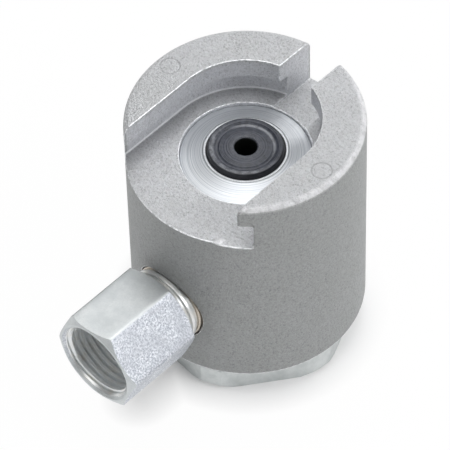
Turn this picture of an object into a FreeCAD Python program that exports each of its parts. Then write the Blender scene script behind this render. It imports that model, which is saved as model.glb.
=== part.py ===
import FreeCAD, Part
import math
import os

V = FreeCAD.Vector

# Lengths are in millimetres. The origin is the middle of the end plug's bottom face, +Z is up
# the body's axis, and the open mouth of the head slot and the inlet both face -Y.

# Outer form of the body
body_radius = 16.0
body_height = 34.5
rim_fillet = 1.0
base_chamfer = 0.4

# Head slot: a neck between two lips, and a wider undercut below them
slot_depth = 7.0
lip_thickness = 3.3
neck_half_width = 10.1
undercut_half_width = 11.6
undercut_corner_radius = 0.6
lip_edge_chamfer = 0.25
exit_half_width = 2.8
exit_extra_depth = 0.25
mouth_ramp_inner_x = 6.7
mouth_ramp_flat_length = 5.5
mouth_ramp_slope_length = 4.5
mouth_ramp_depth = 0.6

# Marks of the casting die's ejector pins on the two jaws
ejector_mark_depth = 0.12
ejector_mark_radius = 1.35
ejector_mark_distance = 13.6

# Bores of the body
shoulder_thickness = 4.0
piston_running_gap = 0.06
neck_bore_chamfer = 0.25
passage_radius = 1.6

# End plug and its gasket
plug_hex_flats = 28.0
plug_corner_radius = 15.4
plug_hex_height = 3.9
plug_turn = 23.2
plug_edge_chamfer = 0.7
plug_thread_radius = 12.0
plug_thread_length = 4.6
thread_fit_gap = 0.03
thread_relief_depth = 0.7
thread_relief_length = 0.8
plug_end_chamfer = 0.5
gasket_thickness = 0.4
gasket_width = 1.6
gasket_clearance = 0.1

# Piston
face_recess = 0.8
face_cone_rise = 1.3
piston_neck_radius = 8.8
piston_skirt_radius = 10.2
piston_skirt_length = 3.0
piston_edge_chamfer = 0.15
stop_gap = 0.1
stem_radius = 6.4
stem_tail = 0.5

# Seal and the steel cup that it is moulded in
seal_radius = 5.25
seal_cup_wall = 0.5
seal_cup_floor = 0.6
seal_cup_lip_rise = 0.12
seal_base_depth = 2.5
seal_hole_radius = 1.5
seal_shoulder_rise = 1.75
seal_bead_rise = 2.15
seal_groove_rise = 1.9
seal_crown_rise = 2.1
seal_bead_radius = 4.65
seal_groove_radius = 3.95
seal_crown_radius = 2.4
seal_lip_drop = 0.25
soft_fit_gap = 0.02

# Piston packing, held by a washer and a snap ring
packing_height = 2.7
packing_lip_thickness = 1.0
packing_notch_depth = 1.5
expander_height = 1.2
expander_chamfer = 0.35
backup_washer_thickness = 0.8
backup_washer_gap = 0.3
snap_ring_thickness = 0.6
snap_ring_width = 1.1
snap_ring_groove_depth = 0.5
snap_ring_opening = 2.4
snap_ring_gap = 0.05

# Piston spring and its seat
spring_seat_depth = 4.2
spring_seat_thickness = 0.6
spring_seat_radius = 5.2
spring_pocket_gap = 0.2
spring_wire_radius = 0.5
spring_mean_radius = 4.1
spring_turns = 8
piston_spring_pocket_radius = 4.9
piston_web_thickness = 3.3

# Inlet adapter
inlet_axis_z = 14.6
inlet_hex_flats = 12.7
inlet_hex_turn = 7.6
inlet_hex_length = 11.7
hex_end_chamfer = 0.55
hex_end_chamfer_angle = 30
inlet_thread_radius = 5.1
inlet_thread_length = 8.8
inlet_mouth_chamfer = 0.75
inlet_drill_radius = 2.1
inlet_drill_length = 1.7
collar_radius = 6.4
collar_length = 2.6
collar_ring_length = 0.6
collar_groove_length = 0.5
collar_groove_depth = 0.6
collar_edge_chamfer = 0.15
spigot_radius = 5.0
spigot_length = 3.6
spot_face_depth = 1.5
spot_face_gap = 0.4
inlet_washer_thickness = 0.9
inlet_washer_radius = 6.5

# Ball check inside the adapter
check_chamber_radius = 3.4
check_seat_thickness = 1.5
check_seat_bore_radius = 1.9
check_ball_radius = 2.6
check_ball_seat_gap = 0.02
check_retainer_thickness = 0.6
check_retainer_end_gap = 0.1
check_retainer_hole_radius = 0.65
check_retainer_hole_ring = 2.3
check_retainer_holes = 6
check_retainer_boss_radius = 0.9
check_retainer_boss_height = 0.7
check_spring_wire_radius = 0.18
check_spring_mean_radius = 1.4
check_spring_turns = 4
check_spring_gap = 0.02

# How the spring wire is drawn, and how far apart the two closed turns at each end lie
wire_flats = 8
chords_per_turn = 12
closed_turn_spread = 1.15

# How far a cutting shape runs past what it cuts, and how near a point counts as on a surface
overrun = 1.0
touch = 1e-4

# Levels along the body's axis
body_base_z = plug_hex_height + gasket_thickness
body_top_z = body_base_z + body_height
floor_z = body_top_z - slot_depth
undercut_top_z = body_top_z - lip_thickness
shoulder_z = floor_z - shoulder_thickness
plug_thread_top_z = body_base_z + plug_thread_length
neck_bore_radius = piston_neck_radius + piston_running_gap
main_bore_radius = piston_skirt_radius + piston_running_gap
face_z = floor_z - face_recess
cone_top_z = face_z + face_cone_rise
skirt_top_z = shoulder_z - stop_gap
skirt_bottom_z = skirt_top_z - piston_skirt_length
packing_bottom_z = skirt_bottom_z - packing_height
backup_bottom_z = packing_bottom_z - backup_washer_thickness
snap_ring_top_z = backup_bottom_z - snap_ring_gap
snap_ring_bottom_z = snap_ring_top_z - snap_ring_thickness
stem_bottom_z = snap_ring_bottom_z - stem_tail
seal_cup_radius = seal_radius + soft_fit_gap + seal_cup_wall
seal_base_z = face_z - seal_base_depth
seal_cup_base_z = seal_base_z - seal_cup_floor
spring_pocket_top_z = seal_cup_base_z - piston_web_thickness
spring_seat_z = plug_thread_top_z - spring_seat_depth
spring_bottom_z = spring_seat_z + spring_seat_thickness

# Distances along the inlet's axis, from the body's axis outwards
spot_face_distance = body_radius - spot_face_depth
spigot_end_distance = spot_face_distance - spigot_length
inlet_washer_end = spot_face_distance + inlet_washer_thickness
inlet_hex_start = inlet_washer_end + collar_length
inlet_mouth_distance = inlet_hex_start + inlet_hex_length
collar_groove_end = inlet_hex_start - collar_ring_length
collar_groove_start = collar_groove_end - collar_groove_length
inlet_thread_bottom = inlet_mouth_distance - inlet_thread_length
check_seat_outer = inlet_thread_bottom - inlet_drill_length
check_seat_inner = check_seat_outer - check_seat_thickness
ball_reach = math.sqrt(check_ball_radius ** 2 - check_seat_bore_radius ** 2)
ball_distance = check_seat_inner - ball_reach - check_ball_seat_gap
retainer_start = spigot_end_distance + check_retainer_end_gap
retainer_end = retainer_start + check_retainer_thickness


def revolve(edges):
    """Turn a closed half profile in the XZ plane about the Z axis."""
    face = Part.Face(Part.Wire(edges))
    return face.revolve(V(0, 0, 0), V(0, 0, 1), 360)


def turned(points):
    """Turn a straight-sided profile, given as (radius, height) corners, about the Z axis."""
    corners = [V(radius, 0, height) for radius, height in points]
    corners.append(corners[0])
    return revolve(Part.makePolygon(corners).Edges)


def rod(radius, low, high):
    return Part.makeCylinder(radius, high - low, V(0, 0, low))


def ring(outer, inner, low, high):
    return rod(outer, low, high).cut(rod(inner, low, high))


def block(x_low, x_high, y_low, y_high, z_low, z_high):
    return Part.makeBox(x_high - x_low, y_high - y_low, z_high - z_low, V(x_low, y_low, z_low))


def hexagon(flats, low, high, turn):
    """A hexagonal prism about the Z axis, with its first corner at the angle turn."""
    corner = flats / 2 / math.cos(math.pi / 6)
    angles = [math.radians(turn + 60 * k) for k in range(7)]
    points = [V(corner * math.cos(a), corner * math.sin(a), low) for a in angles]
    return Part.Face(Part.makePolygon(points)).extrude(V(0, 0, high - low))


def on_inlet_axis(shape):
    """Carry a shape made about Z to the inlet, where Z becomes the way out along -Y."""
    moved = shape.copy()
    moved.Placement = FreeCAD.Placement(V(0, 0, inlet_axis_z), FreeCAD.Rotation(V(1, 0, 0), 90))
    return moved


def coil(mean_radius, wire_radius, turns, low, high):
    """A compression spring about Z with closed end turns, its wire drawn with flats in short chords."""
    span = high - low - 2 * wire_radius
    closed_pitch = 2 * wire_radius * closed_turn_spread
    open_pitch = (span - 2 * closed_pitch) / (turns - 2)
    slope = open_pitch / (2 * math.pi * mean_radius)
    sections = []
    for step in range(round(turns * chords_per_turn) + 1):
        turn = step / chords_per_turn
        rise = closed_pitch * min(turn, 1) + open_pitch * max(0, min(turn, turns - 1) - 1)
        rise += closed_pitch * max(0, turn - turns + 1)
        angle = 2 * math.pi * turn
        outward = V(math.cos(angle), math.sin(angle), 0)
        along = V(-math.sin(angle), math.cos(angle), slope).normalize()
        across = along.cross(outward)
        middle = outward * mean_radius + V(0, 0, low + wire_radius + rise)
        corners = []
        for k in range(wire_flats + 1):
            around = 2 * math.pi * k / wire_flats
            corners.append(middle + (outward * math.cos(around) + across * math.sin(around)) * wire_radius)
        sections.append(Part.makePolygon(corners))
    return Part.makeLoft(sections, True, True)


def slot_outline(half_width, low, high):
    """The U-shaped space of the head slot: round about the axis and open towards -Y."""
    reach = body_radius + overrun
    straight = block(-half_width, half_width, -reach, 0, low, high)
    return rod(half_width, low, high).fuse(straight).removeSplitter()


def on_slot_wall(point, half_width):
    beside = abs(abs(point.x) - half_width) < touch
    around = abs(math.hypot(point.x, point.y) - half_width) < touch
    return beside or around


def edges_at(shape, level, half_width):
    """Edges of a slot outline that lie at one height and follow its wall."""
    found = []
    for edge in shape.Edges:
        box = edge.BoundBox
        flat = abs(box.ZMin - level) < touch and abs(box.ZMax - level) < touch
        outside = box.YMax < -body_radius
        ends = [edge.valueAt(parameter) for parameter in edge.ParameterRange]
        if flat and not outside and all(on_slot_wall(end, half_width) for end in ends):
            found.append(edge)
    return found


def head_slot():
    """The T-shaped space for a fitting's head: a narrow neck over a wider, round-cornered undercut."""
    neck = slot_outline(neck_half_width, floor_z, body_top_z + overrun)
    undercut = slot_outline(undercut_half_width, floor_z, undercut_top_z)
    corners = edges_at(undercut, undercut_top_z, undercut_half_width)
    undercut = undercut.makeFillet(undercut_corner_radius, corners)
    space = neck.fuse(undercut).removeSplitter()
    return space.makeChamfer(lip_edge_chamfer, edges_at(space, undercut_top_z, neck_half_width))


def mouth_ramp():
    """The lower floor on one side of the mouth, with the slope that leads into it."""
    reach = body_radius + overrun
    flat_end = mouth_ramp_flat_length - body_radius
    slope_end = flat_end + mouth_ramp_slope_length
    low = floor_z - mouth_ramp_depth
    side = Part.makePolygon(
        [
            V(mouth_ramp_inner_x, -reach, floor_z),
            V(mouth_ramp_inner_x, -reach, low),
            V(mouth_ramp_inner_x, flat_end, low),
            V(mouth_ramp_inner_x, slope_end, floor_z),
            V(mouth_ramp_inner_x, -reach, floor_z),
        ]
    )
    return Part.Face(side).extrude(V(undercut_half_width - mouth_ramp_inner_x, 0, 0))


def coupler_body():
    halfway = rim_fillet * (1 - math.cos(math.pi / 4))
    top_corner = V(body_radius, 0, body_top_z - rim_fillet)
    top_middle = V(body_radius - halfway, 0, body_top_z - halfway)
    top_inner = V(body_radius - rim_fillet, 0, body_top_z)
    lower = [
        V(0, 0, body_top_z),
        V(0, 0, body_base_z),
        V(body_radius - base_chamfer, 0, body_base_z),
        V(body_radius, 0, body_base_z + base_chamfer),
        top_corner,
    ]
    edges = Part.makePolygon(lower).Edges
    edges.append(Part.Arc(top_corner, top_middle, top_inner).toShape())
    edges.append(Part.makeLine(top_inner, V(0, 0, body_top_z)))
    body = revolve(edges)

    reach = body_radius + overrun
    exit_low = floor_z - exit_extra_depth
    body = body.cut(head_slot())
    body = body.cut(block(-exit_half_width, exit_half_width, 0, reach, exit_low, body_top_z + overrun))
    body = body.cut(mouth_ramp())
    for side in (-1, 1):
        mark = rod(ejector_mark_radius, body_top_z - ejector_mark_depth, body_top_z)
        mark.translate(V(side * ejector_mark_distance, 0, 0))
        body = body.cut(mark)

    bore = turned(
        [
            (0, body_base_z),
            (plug_thread_radius, body_base_z),
            (plug_thread_radius, plug_thread_top_z),
            (main_bore_radius, plug_thread_top_z),
            (main_bore_radius, shoulder_z),
            (neck_bore_radius, shoulder_z),
            (neck_bore_radius, floor_z - neck_bore_chamfer),
            (neck_bore_radius + neck_bore_chamfer, floor_z),
            (0, floor_z),
        ]
    )
    body = body.cut(bore)
    body = body.cut(on_inlet_axis(rod(spigot_radius, 0, body_radius)))
    spot_face_radius = inlet_washer_radius + spot_face_gap
    body = body.cut(on_inlet_axis(rod(spot_face_radius, spot_face_distance, reach)))
    return body


def end_plug():
    hexagon_end = hexagon(plug_hex_flats, 0, plug_hex_height, plug_turn + 30)
    rounding = turned(
        [
            (0, 0),
            (plug_corner_radius - plug_edge_chamfer, 0),
            (plug_corner_radius, plug_edge_chamfer),
            (plug_corner_radius, plug_hex_height),
            (0, plug_hex_height),
        ]
    )
    thread_radius = plug_thread_radius - thread_fit_gap
    relief_radius = plug_thread_radius - thread_relief_depth
    screw = turned(
        [
            (0, plug_hex_height),
            (relief_radius, plug_hex_height),
            (relief_radius, body_base_z + thread_relief_length),
            (thread_radius, body_base_z + thread_relief_length),
            (thread_radius, plug_thread_top_z - plug_end_chamfer),
            (thread_radius - plug_end_chamfer, plug_thread_top_z),
            (0, plug_thread_top_z),
        ]
    )
    plug = hexagon_end.common(rounding).fuse(screw).removeSplitter()
    return plug.cut(rod(spring_seat_radius + spring_pocket_gap, spring_seat_z, plug_thread_top_z))


def plug_gasket():
    inner = plug_thread_radius + gasket_clearance
    return ring(inner + gasket_width, inner, plug_hex_height, body_base_z)


def spring_seat():
    return ring(spring_seat_radius, passage_radius, spring_seat_z, spring_bottom_z)


def piston():
    groove_radius = stem_radius - snap_ring_groove_depth
    outer = turned(
        [
            (0, stem_bottom_z),
            (stem_radius, stem_bottom_z),
            (stem_radius, snap_ring_bottom_z - snap_ring_gap),
            (groove_radius, snap_ring_bottom_z - snap_ring_gap),
            (groove_radius, backup_bottom_z),
            (stem_radius, backup_bottom_z),
            (stem_radius, skirt_bottom_z),
            (piston_skirt_radius, skirt_bottom_z),
            (piston_skirt_radius, skirt_top_z),
            (piston_neck_radius, skirt_top_z),
            (piston_neck_radius, face_z - piston_edge_chamfer),
            (piston_neck_radius - piston_edge_chamfer, face_z),
            (seal_cup_radius, cone_top_z),
            (0, cone_top_z),
        ]
    )
    outer = outer.cut(rod(seal_cup_radius, seal_cup_base_z, cone_top_z))
    outer = outer.cut(rod(passage_radius, stem_bottom_z, seal_cup_base_z))
    return outer.cut(rod(piston_spring_pocket_radius, stem_bottom_z, spring_pocket_top_z))


def seal_cup():
    """The pressed steel cup round the rubber, with its lip bevelled outwards."""
    inner = seal_radius + soft_fit_gap
    lip_z = cone_top_z + seal_cup_lip_rise
    return turned(
        [
            (passage_radius, seal_cup_base_z),
            (seal_cup_radius, seal_cup_base_z),
            (seal_cup_radius, lip_z - seal_cup_wall / 2),
            (seal_cup_radius - seal_cup_wall / 2, lip_z),
            (inner, lip_z),
            (inner, seal_base_z),
            (passage_radius, seal_base_z),
        ]
    )


def face_seal():
    """Rubber seal: a rounded shoulder, a bead and a groove, and a crown round the hole."""
    shoulder = V(seal_radius, 0, face_z + seal_shoulder_rise)
    bead = V(seal_bead_radius, 0, face_z + seal_bead_rise)
    groove = V(seal_groove_radius, 0, face_z + seal_groove_rise)
    crown = V(seal_crown_radius, 0, face_z + seal_crown_rise)
    mouth = V(seal_hole_radius, 0, face_z + seal_crown_rise - seal_lip_drop)
    base_inner = V(seal_hole_radius, 0, seal_base_z)
    base_outer = V(seal_radius, 0, seal_base_z)
    outline = [shoulder, bead, groove, crown, mouth, base_inner, base_outer, shoulder]
    return revolve(Part.makePolygon(outline).Edges)


def piston_packing():
    """A U-cup: two lips that face down into the grease, over a solid heel."""
    inner = stem_radius
    outer = piston_skirt_radius
    notch_top = packing_bottom_z + packing_notch_depth
    return turned(
        [
            (inner, packing_bottom_z),
            (inner + packing_lip_thickness, packing_bottom_z),
            (inner + packing_lip_thickness, notch_top),
            (outer - packing_lip_thickness, notch_top),
            (outer - packing_lip_thickness, packing_bottom_z),
            (outer, packing_bottom_z),
            (outer, skirt_bottom_z),
            (inner, skirt_bottom_z),
        ]
    )


def packing_expander():
    """A rubber ring of square section with its corners taken off, which spreads the packing's lips."""
    high = packing_bottom_z + packing_notch_depth
    low = high - expander_height
    inner = stem_radius + packing_lip_thickness
    outer = piston_skirt_radius - packing_lip_thickness
    return turned(
        [
            (inner + expander_chamfer, low),
            (outer - expander_chamfer, low),
            (outer, low + expander_chamfer),
            (outer, high - expander_chamfer),
            (outer - expander_chamfer, high),
            (inner + expander_chamfer, high),
            (inner, high - expander_chamfer),
            (inner, low + expander_chamfer),
        ]
    )


def backup_washer():
    return ring(piston_skirt_radius - backup_washer_gap, stem_radius, backup_bottom_z, packing_bottom_z)


def packing_snap_ring():
    inner = stem_radius - snap_ring_groove_depth
    outer = inner + snap_ring_width
    whole = ring(outer, inner, snap_ring_bottom_z, snap_ring_top_z)
    half = snap_ring_opening / 2
    return whole.cut(block(0, outer + overrun, -half, half, snap_ring_bottom_z, snap_ring_top_z))


def piston_spring():
    return coil(spring_mean_radius, spring_wire_radius, spring_turns, spring_bottom_z, spring_pocket_top_z)


def inlet_adapter():
    half_flats = inlet_hex_flats / 2
    slope = hex_end_chamfer / math.tan(math.radians(hex_end_chamfer_angle))
    corner = half_flats / math.cos(math.pi / 6)
    nut = hexagon(inlet_hex_flats, inlet_hex_start, inlet_mouth_distance, inlet_hex_turn)
    chamfers = turned(
        [
            (0, inlet_hex_start),
            (corner - slope, inlet_hex_start),
            (corner, inlet_hex_start + hex_end_chamfer),
            (corner, inlet_mouth_distance - hex_end_chamfer),
            (corner - slope, inlet_mouth_distance),
            (0, inlet_mouth_distance),
        ]
    )
    nut = nut.common(chamfers)
    spigot_outer = spigot_radius - thread_fit_gap
    groove_radius = collar_radius - collar_groove_depth
    stem = turned(
        [
            (0, spigot_end_distance),
            (spigot_outer, spigot_end_distance),
            (spigot_outer, inlet_washer_end),
            (collar_radius - collar_edge_chamfer, inlet_washer_end),
            (collar_radius, inlet_washer_end + collar_edge_chamfer),
            (collar_radius, collar_groove_start - collar_edge_chamfer),
            (collar_radius - collar_edge_chamfer, collar_groove_start),
            (groove_radius, collar_groove_start),
            (groove_radius, collar_groove_end),
            (collar_radius - collar_edge_chamfer, collar_groove_end),
            (collar_radius, collar_groove_end + collar_edge_chamfer),
            (collar_radius, inlet_hex_start - collar_edge_chamfer),
            (collar_radius - collar_edge_chamfer, inlet_hex_start),
            (0, inlet_hex_start),
        ]
    )
    passage = turned(
        [
            (0, spigot_end_distance),
            (check_chamber_radius, spigot_end_distance),
            (check_chamber_radius, check_seat_outer),
            (inlet_drill_radius, check_seat_outer),
            (inlet_drill_radius, inlet_thread_bottom),
            (inlet_thread_radius, inlet_thread_bottom),
            (inlet_thread_radius, inlet_mouth_distance - inlet_mouth_chamfer),
            (inlet_thread_radius + inlet_mouth_chamfer, inlet_mouth_distance),
            (0, inlet_mouth_distance),
        ]
    )
    return on_inlet_axis(nut.fuse(stem).removeSplitter().cut(passage))


def inlet_washer():
    return on_inlet_axis(ring(inlet_washer_radius, spigot_radius, spot_face_distance, inlet_washer_end))


def check_seat():
    seat = ring(check_chamber_radius, check_seat_bore_radius, check_seat_inner, check_seat_outer)
    return on_inlet_axis(seat)


def check_ball():
    return on_inlet_axis(Part.makeSphere(check_ball_radius, V(0, 0, ball_distance)))


def check_retainer():
    """A perforated disc at the spigot's end, with a boss that centres the spring."""
    disc = rod(check_chamber_radius, retainer_start, retainer_end)
    boss_end = retainer_end + check_retainer_boss_height
    disc = disc.fuse(rod(check_retainer_boss_radius, retainer_end, boss_end))
    for k in range(check_retainer_holes):
        angle = 2 * math.pi * k / check_retainer_holes
        hole = rod(check_retainer_hole_radius, retainer_start, retainer_end)
        hole.translate(V(math.cos(angle), math.sin(angle), 0) * check_retainer_hole_ring)
        disc = disc.cut(hole)
    return on_inlet_axis(disc)


def check_spring():
    """A light spring from the retainer to the ring where its first turn meets the ball."""
    inner = check_spring_mean_radius - check_spring_wire_radius
    end = ball_distance - math.sqrt(check_ball_radius ** 2 - inner ** 2) - check_spring_gap
    wire = check_spring_wire_radius
    return on_inlet_axis(coil(check_spring_mean_radius, wire, check_spring_turns, retainer_end, end))


nodes = {
    "coupler_body": coupler_body,
    "end_plug": end_plug,
    "plug_gasket": plug_gasket,
    "spring_seat": spring_seat,
    "piston_spring": piston_spring,
    "piston": piston,
    "seal_cup": seal_cup,
    "face_seal": face_seal,
    "piston_packing": piston_packing,
    "packing_expander": packing_expander,
    "backup_washer": backup_washer,
    "packing_snap_ring": packing_snap_ring,
    "inlet_adapter": inlet_adapter,
    "inlet_washer": inlet_washer,
    "check_seat": check_seat,
    "check_ball": check_ball,
    "check_spring": check_spring,
    "check_retainer": check_retainer,
}

os.makedirs("parts", exist_ok=True)
for name, make in nodes.items():
    shape = make()
    print(name, "solids", len(shape.Solids), "valid", shape.isValid(), "volume", round(shape.Volume, 2))
    shape.exportStep(f"parts/{name}.step")
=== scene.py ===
import math

import bmesh
import bpy
from mathutils import Matrix, Quaternion, Vector, noise

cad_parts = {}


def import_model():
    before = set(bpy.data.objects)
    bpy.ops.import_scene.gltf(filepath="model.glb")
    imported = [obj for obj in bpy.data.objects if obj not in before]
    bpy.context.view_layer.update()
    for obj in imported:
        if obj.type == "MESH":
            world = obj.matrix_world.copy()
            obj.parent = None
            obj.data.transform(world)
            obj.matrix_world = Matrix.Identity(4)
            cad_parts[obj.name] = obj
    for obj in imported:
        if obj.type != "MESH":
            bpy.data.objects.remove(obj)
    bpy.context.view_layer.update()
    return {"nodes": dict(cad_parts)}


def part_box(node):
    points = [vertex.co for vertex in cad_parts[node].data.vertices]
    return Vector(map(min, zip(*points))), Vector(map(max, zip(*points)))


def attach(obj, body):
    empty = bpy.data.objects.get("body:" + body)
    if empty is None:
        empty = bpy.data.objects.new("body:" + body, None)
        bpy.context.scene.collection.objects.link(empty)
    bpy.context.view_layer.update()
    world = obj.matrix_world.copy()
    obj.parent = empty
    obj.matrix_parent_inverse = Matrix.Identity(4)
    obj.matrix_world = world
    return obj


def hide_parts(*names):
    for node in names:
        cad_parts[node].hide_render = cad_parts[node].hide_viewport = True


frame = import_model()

# Lengths below are in millimetres, and MM turns them into the frame's metres. Angles are in
# degrees.
MM = 0.001

# Levels and distances read from the frame
BODY_LOW, BODY_HIGH = (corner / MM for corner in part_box("coupler_body"))
PLUG_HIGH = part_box("end_plug")[1] / MM
PISTON_LOW, PISTON_HIGH = (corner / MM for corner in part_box("piston"))
CUP_LOW, CUP_HIGH = (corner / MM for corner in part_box("seal_cup"))
SEAL_LOW, SEAL_HIGH = (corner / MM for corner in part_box("face_seal"))
ADAPTER_LOW, ADAPTER_HIGH = (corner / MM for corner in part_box("inlet_adapter"))
WASHER_LOW, WASHER_HIGH = (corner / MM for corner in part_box("inlet_washer"))

# How far a cutting shape runs past the face that it opens
cut_overrun = 1.0

# The body and its head slot
body_radius = BODY_HIGH.x
body_base_z = BODY_LOW.z
body_top_z = BODY_HIGH.z
rim_fillet = 1.0
base_chamfer = 0.4
slot_depth = 7.0
floor_z = body_top_z - slot_depth
lip_thickness = 3.3
undercut_top_z = body_top_z - lip_thickness
neck_half_width = 10.1
undercut_half_width = 11.6
undercut_corner_radius = 0.3
undercut_foot_radius = 0.25
lip_edge_radius = 0.3
exit_half_width = 2.8
exit_extra_depth = 0.25
mouth_ramp_inner_x = 6.7
mouth_ramp_flat_length = 5.5
mouth_ramp_slope_length = 4.5
mouth_ramp_depth = 0.6
mouth_ramp_inner_share = 0.7
mouth_ramp_outer_share = 1.1
mouth_ramp_side_width = 0.9
mouth_ramp_end_shift = 2.5
mouth_ramp_overlap = 0.03
mouth_ramp_wall_gap = 0.02
ejector_mark_radius = 1.35
ejector_mark_depth = 0.085
ejector_mark_distance = 13.6
shoulder_z = floor_z - 4.0
neck_bore_radius = 8.86
main_bore_radius = 10.26
face_recess = 0.45
cup_lip_rise = 0.06
cone_sag = 0.06
plug_thread_radius = 12.0
plug_thread_top_z = PLUG_HIGH.z
spot_face_depth = 1.5
spot_face_gap = 0.16
spot_face_reach = 3.0
spigot_radius = 5.0
thread_gap = 0.03

# The inlet adapter, in distances from its mouth
inlet_axis_z = (WASHER_LOW.z + WASHER_HIGH.z) / 2
inlet_mouth_y = ADAPTER_LOW.y
hex_flats = 12.7
hex_turn = 7.6
hex_length = 12.1
hex_mouth_radius = 6.2
hex_back_radius = 6.5
hex_end_angle = 30
hex_corner_round = 0.45
collar_radius = 5.75
collar_back_radius = 5.55
collar_ring_length = 0.5
collar_groove_length = 0.5
collar_groove_depth = 0.55
collar_back_length = 0.75
collar_edge = 0.16
adapter_length = ADAPTER_HIGH.y - ADAPTER_LOW.y
thread_length = 8.8
thread_major_radius = 5.6
thread_depth = 0.5
thread_pitch = 25.4 / 27
mouth_radius = 5.98
mouth_edge_length = 0.3
mouth_edge_slope = 1.2
lead_in_slope = 0.8
drill_radius = 2.1
drill_length = 1.7
chamber_radius = 3.4

# The end plug
plug_hex_flats = 28.0
plug_corner_radius = 15.4
plug_hex_height = 3.9
plug_turn = 23.2
plug_edge_chamfer = 0.7
plug_top_edge = 0.12
plug_relief_depth = 0.7
plug_relief_length = 0.8
plug_thread_chamfer = 0.5
plug_pocket_radius = 5.4
plug_pocket_depth = 4.2
plug_cap_radius = 0.5

# The piston, the cup and the seal
grease_hole_radius = 1.6
piston_neck_gap = 0.06
shoulder_gap = 0.1
skirt_length = 3.0
packing_length = 2.7
backup_washer_thickness = 0.8
snap_ring_thickness = 0.6
snap_ring_gap = 0.05
stem_radius = 6.4
stem_groove_depth = 0.5
stem_bore_radius = 4.9
web_thickness = 3.3
piston_edge = 0.16
cup_wall = 0.5
cup_base = 0.6
cup_outer_round = 0.2
cup_inner_round = 0.15
seal_hole_radius = 1.5
seal_bead_radius = 4.67
seal_bead_round = 0.42
seal_crown_drop = 0.06
seal_tear_radius = 1.6
seal_tear_width = 0.5


def arc(centre, radius, start, end, steps):
    """Points of an arc in a profile, from one angle to another, with both its ends."""
    points = []
    for k in range(steps + 1):
        angle = math.radians(start + (end - start) * k / steps)
        points.append((centre[0] + radius * math.cos(angle), centre[1] + radius * math.sin(angle)))
    return points


def evenly(count):
    """Angles of a full turn in equal steps."""
    return [360.0 * k / count for k in range(count)]


def about_body(radius, angle, height):
    """A point at a radius and an angle round the body's axis."""
    turn = math.radians(angle)
    return Vector((radius * math.cos(turn), radius * math.sin(turn), height))


def about_inlet(radius, angle, distance):
    """A point at a radius and an angle round the inlet's axis, at a distance from its mouth."""
    turn = math.radians(angle)
    return Vector((radius * math.cos(turn), inlet_mouth_y + distance, inlet_axis_z + radius * math.sin(turn)))


def skin(mesh, loops, closed=True):
    """Lay quads between neighbouring loops of points, and back to the first where it is closed."""
    rows = [[mesh.verts.new(point * MM) for point in loop] for loop in loops]
    count = len(rows[0])
    pairs = list(zip(rows, rows[1:]))
    if closed:
        pairs.append((rows[-1], rows[0]))
    for low, high in pairs:
        for k in range(count):
            after = (k + 1) % count
            mesh.faces.new((low[k], low[after], high[after], high[k]))
    return rows


def finished(name, mesh):
    """Turn mesh data into a named object, with doubled points merged and its faces outward."""
    bmesh.ops.remove_doubles(mesh, verts=mesh.verts, dist=2e-7)
    bmesh.ops.dissolve_degenerate(mesh, edges=mesh.edges, dist=1e-7)
    bmesh.ops.recalc_face_normals(mesh, faces=mesh.faces)
    data = bpy.data.meshes.new(name)
    mesh.to_mesh(data)
    mesh.free()
    data.shade_smooth()
    made = bpy.data.objects.new(name, data)
    bpy.context.scene.collection.objects.link(made)
    return made


def turned(name, profile, columns, place=about_body):
    """Turn a closed profile of (radius, height) points about an axis."""
    mesh = bmesh.new()
    angles = evenly(columns)
    skin(mesh, [[place(radius, angle, height) for angle in angles] for radius, height in profile])
    return finished(name, mesh)


def capped(name, loops):
    """A closed shape from a stack of loops, with its first and last loop filled."""
    mesh = bmesh.new()
    rows = skin(mesh, loops, closed=False)
    mesh.faces.new(rows[0])
    mesh.faces.new(rows[-1])
    return finished(name, mesh)


def stacked(name, layers, columns):
    """A U-shaped space, round about the axis and open towards -Y, from (half width, height) layers."""
    reach = body_radius + 2 * cut_overrun
    outlines = []
    for half_width, height in layers:
        outline = [Vector((half_width, -reach, height))]
        outline += [about_body(half_width, 180 * k / columns, height) for k in range(columns + 1)]
        outline.append(Vector((-half_width, -reach, height)))
        outlines.append(outline)
    return capped(name, outlines)


def looped(columns, rule, place):
    """A loop of points, where the rule gives each column's radius and height from its own radius."""
    points = []
    for angle, own_radius in columns:
        radius, height = rule(own_radius)
        points.append(place(radius, angle, height))
    return points


def hull(name, points):
    """The smallest convex shape round a few points."""
    mesh = bmesh.new()
    corners = [mesh.verts.new(Vector(point) * MM) for point in points]
    bmesh.ops.convex_hull(mesh, input=corners)
    return finished(name, mesh)


def block(name, low, high):
    """A box between two corners."""
    mesh = bmesh.new()
    bmesh.ops.create_cube(mesh, size=1.0)
    size = Vector(high) - Vector(low)
    middle = (Vector(high) + Vector(low)) / 2
    for vertex in mesh.verts:
        vertex.co = Vector(a * b for a, b in zip(vertex.co, size)) * MM + middle * MM
    return finished(name, mesh)


def carve(target, tools):
    """Cut closed tool shapes out of an object, one after another, and take the tools away."""
    for tool in tools:
        step = target.modifiers.new(tool.name, "BOOLEAN")
        step.operation = "DIFFERENCE"
        step.solver = "EXACT"
        step.object = tool
    graph = bpy.context.evaluated_depsgraph_get()
    cut = bpy.data.meshes.new_from_object(target.evaluated_get(graph))
    target.modifiers.clear()
    target.data = cut
    for tool in tools:
        bpy.data.objects.remove(tool)
    cut.shade_smooth()


def soften(target, width):
    """Round the sharp edges a little, as tumbling or blasting leaves them."""
    bevel = target.modifiers.new("edge rounding", "BEVEL")
    bevel.width = width * MM
    bevel.segments = 2
    bevel.limit_method = "ANGLE"
    bevel.angle_limit = math.radians(34)
    bevel.use_clamp_overlap = False
    bevel.harden_normals = True
    bevel.miter_outer = "MITER_ARC"
    return bevel


def sharpen(piece, angle):
    """Keep an edge crisp where its two faces meet at more than an angle."""
    piece.data.set_sharp_from_angle(angle=math.radians(angle))


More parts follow.
